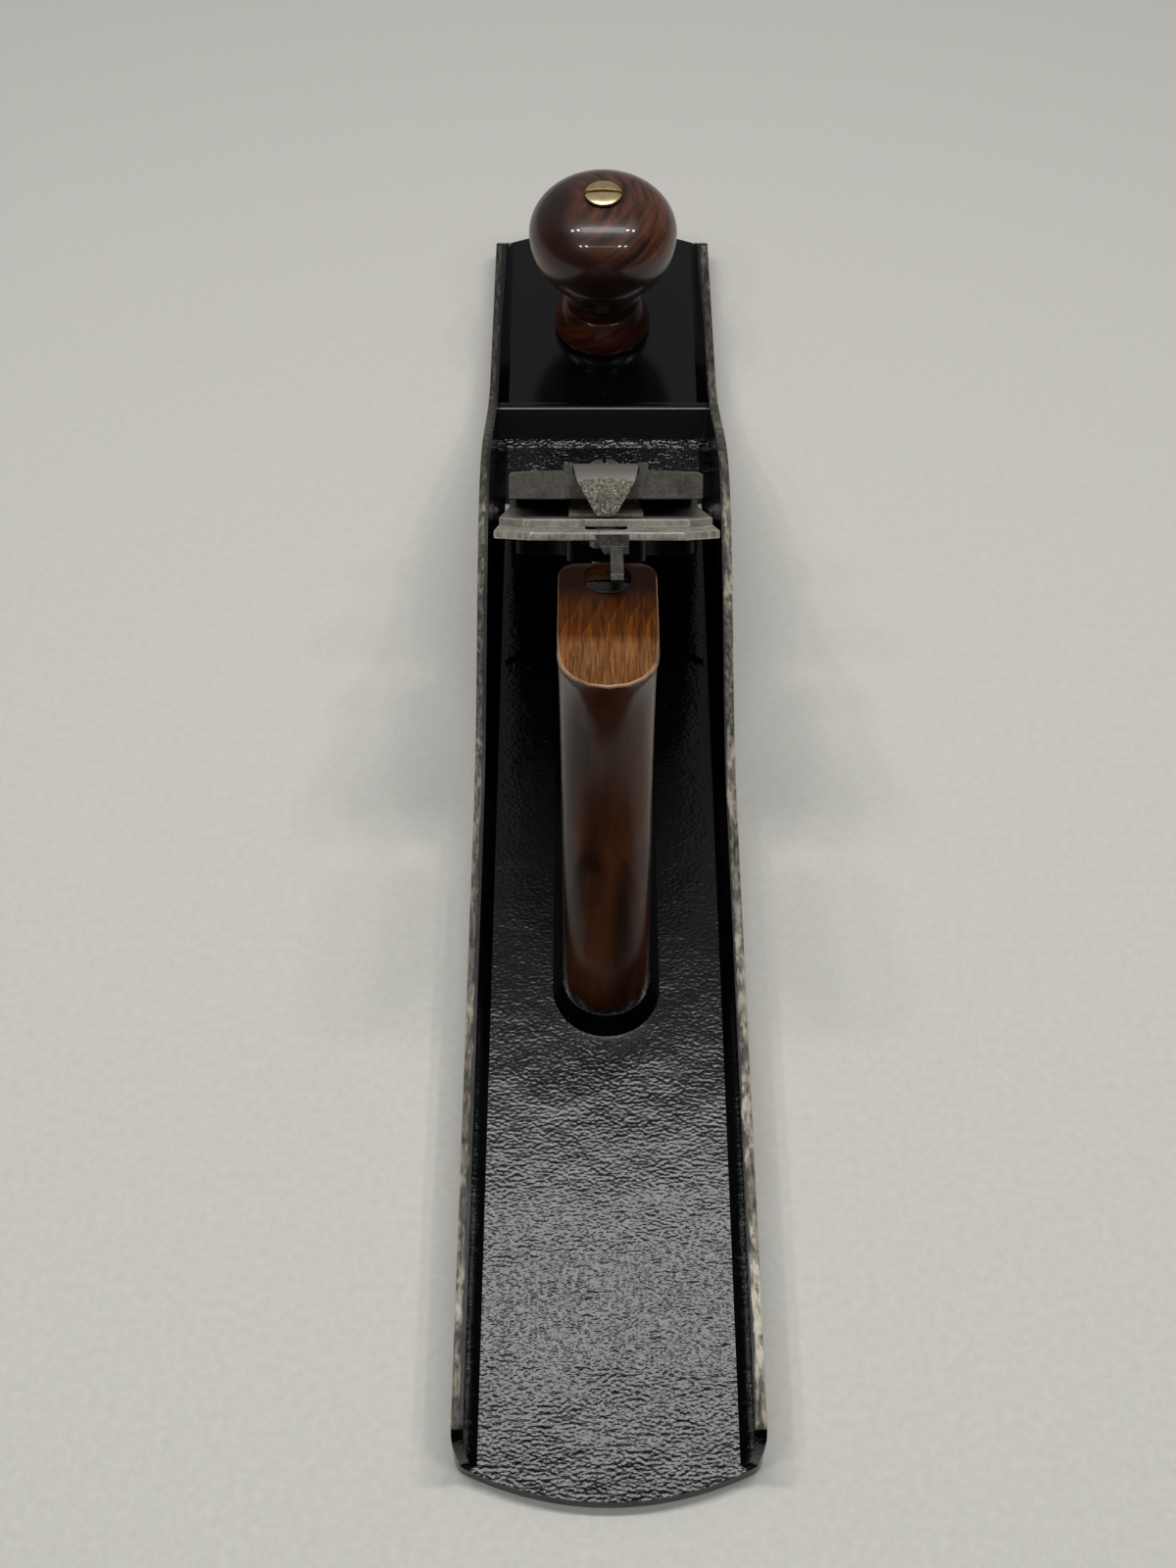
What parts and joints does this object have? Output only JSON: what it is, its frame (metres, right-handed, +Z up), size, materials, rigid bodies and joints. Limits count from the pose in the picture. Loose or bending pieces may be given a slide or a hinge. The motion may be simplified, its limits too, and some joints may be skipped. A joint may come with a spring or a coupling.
{
  "type": "fore plane",
  "caption": "Iron-bodied fore plane with a turned wooden knob and tote, a frog carrying the iron, cap iron and lever cap, and screw and lever adjusters.",
  "frame": {"origin": "on the sole, at the centre of the body's length and width", "axes": "+Y towards the toe, +Z up, +X to the right seen from the heel"},
  "size_m": [0.0754, 0.4572, 0.1119],
  "materials": {
    "japanned_iron": "glossy black japanning inside, ground bare iron on the edges, sides and sole",
    "frog_iron": "glossy black japanning",
    "rosewood": "polished dark red-brown, turned",
    "tote_wood": "worn satin, lighter on the flat top",
    "brass": "worn, slightly tarnished",
    "iron_steel": "dull worn tool steel",
    "cap_steel": "dull worn steel",
    "lever_cap_iron": "dull grey, bare",
    "screw_steel": "dull steel",
    "dark_steel": "dark blued steel"
  },
  "bodies": {
    "plane_body": {"body": "japanned_iron", "knob": "rosewood", "knob_rod": "screw_steel", "knob_nut": "brass", "tote": "tote_wood", "tote_rod": "screw_steel", "tote_nut": "brass", "tote_toe_screw": "dark_steel", "frog_screws": "dark_steel", "frog_washers": "dark_steel"},
    "frog_group": {"frog": "frog_iron", "frog_clip": "dark_steel", "clip_screw": "dark_steel", "depth_stud": "screw_steel", "yoke_pin": "screw_steel", "lateral_rivet": "screw_steel", "lever_cap_screw": "screw_steel"},
    "frog_setter": {"frog_adjusting_screw": "dark_steel"},
    "wheel": {"depth_wheel": "brass"},
    "yoke_lever": {"yoke": "dark_steel"},
    "iron_carrier": {"cap_iron_screw": "dark_steel"},
    "irons": {"iron": "iron_steel", "cap_iron": "cap_steel"},
    "side_lever": {"lateral_lever": "screw_steel"},
    "roller": {"lateral_disc": "screw_steel"},
    "cap_group": {"lever_cap": "lever_cap_iron", "lever_cap_spring": "dark_steel", "spring_rivet": "screw_steel", "cam_pin": "screw_steel"},
    "cam": {"cam_lever": "lever_cap_iron"}
  },
  "joints": [
    {"name": "frog_slide", "type": "slide", "parent": "plane_body", "child": "frog_group", "axis": [0, 1, 0], "range_m": [0, 0.0016]},
    {"name": "frog_screw_turn", "type": "hinge", "parent": "frog_group", "child": "frog_setter", "pos_m": [0, 0.033, 0.0125], "axis": [0, 1, 0], "range_deg": [0, 548]},
    {"name": "iron_depth", "type": "slide", "parent": "frog_group", "child": "iron_carrier", "axis": [0, 0.7071, -0.7071], "range_m": [-0.0012, 0.0008]},
    {"name": "wheel_turn", "type": "hinge", "parent": "frog_group", "child": "wheel", "pos_m": [0, 0.01618, 0.0373], "axis": [0, 0.9397, -0.342], "range_deg": [-480, 320]},
    {"name": "yoke_rock", "type": "hinge", "parent": "frog_group", "child": "yoke_lever", "pos_m": [0, 0.02216, 0.05374], "axis": [-1, 0, 0], "range_deg": [-4.7, 3.2]},
    {"name": "iron_tilt", "type": "hinge", "parent": "iron_carrier", "child": "irons", "pos_m": [0, 0.04479, 0.05091], "axis": [0, 0.7071, 0.7071], "range_deg": [-1.22, 1.22]},
    {"name": "lateral_swing", "type": "hinge", "parent": "frog_group", "child": "side_lever", "pos_m": [0, 0.01438, 0.07708], "axis": [0, 0.7071, 0.7071], "range_deg": [-8.6, 8.6]},
    {"name": "roller_turn", "type": "hinge", "parent": "side_lever", "child": "roller", "pos_m": [0, 0.01933, 0.07495], "axis": [0, 0.7071, 0.7071], "continuous": true},
    {"name": "lever_cap_slide", "type": "slide", "parent": "frog_group", "child": "cap_group", "axis": [0, -0.7071, 0.7071], "range_m": [0, 0.009]},
    {"name": "cam_turn", "type": "hinge", "parent": "cap_group", "child": "cam", "pos_m": [0, 0.03673, 0.07396], "axis": [-1, 0, 0], "range_deg": [0, 95]}
  ],
  "couplings": [
    {"joint": "frog_screw_turn", "follows": "frog_slide", "rad_per_m": 5938.7},
    {"joint": "wheel_turn", "follows": "iron_depth", "rad_per_m": 6928.5},
    {"joint": "yoke_rock", "follows": "iron_depth", "rad_per_m": 66.667},
    {"joint": "lateral_swing", "follows": "iron_tilt", "ratio": -7}
  ]
}
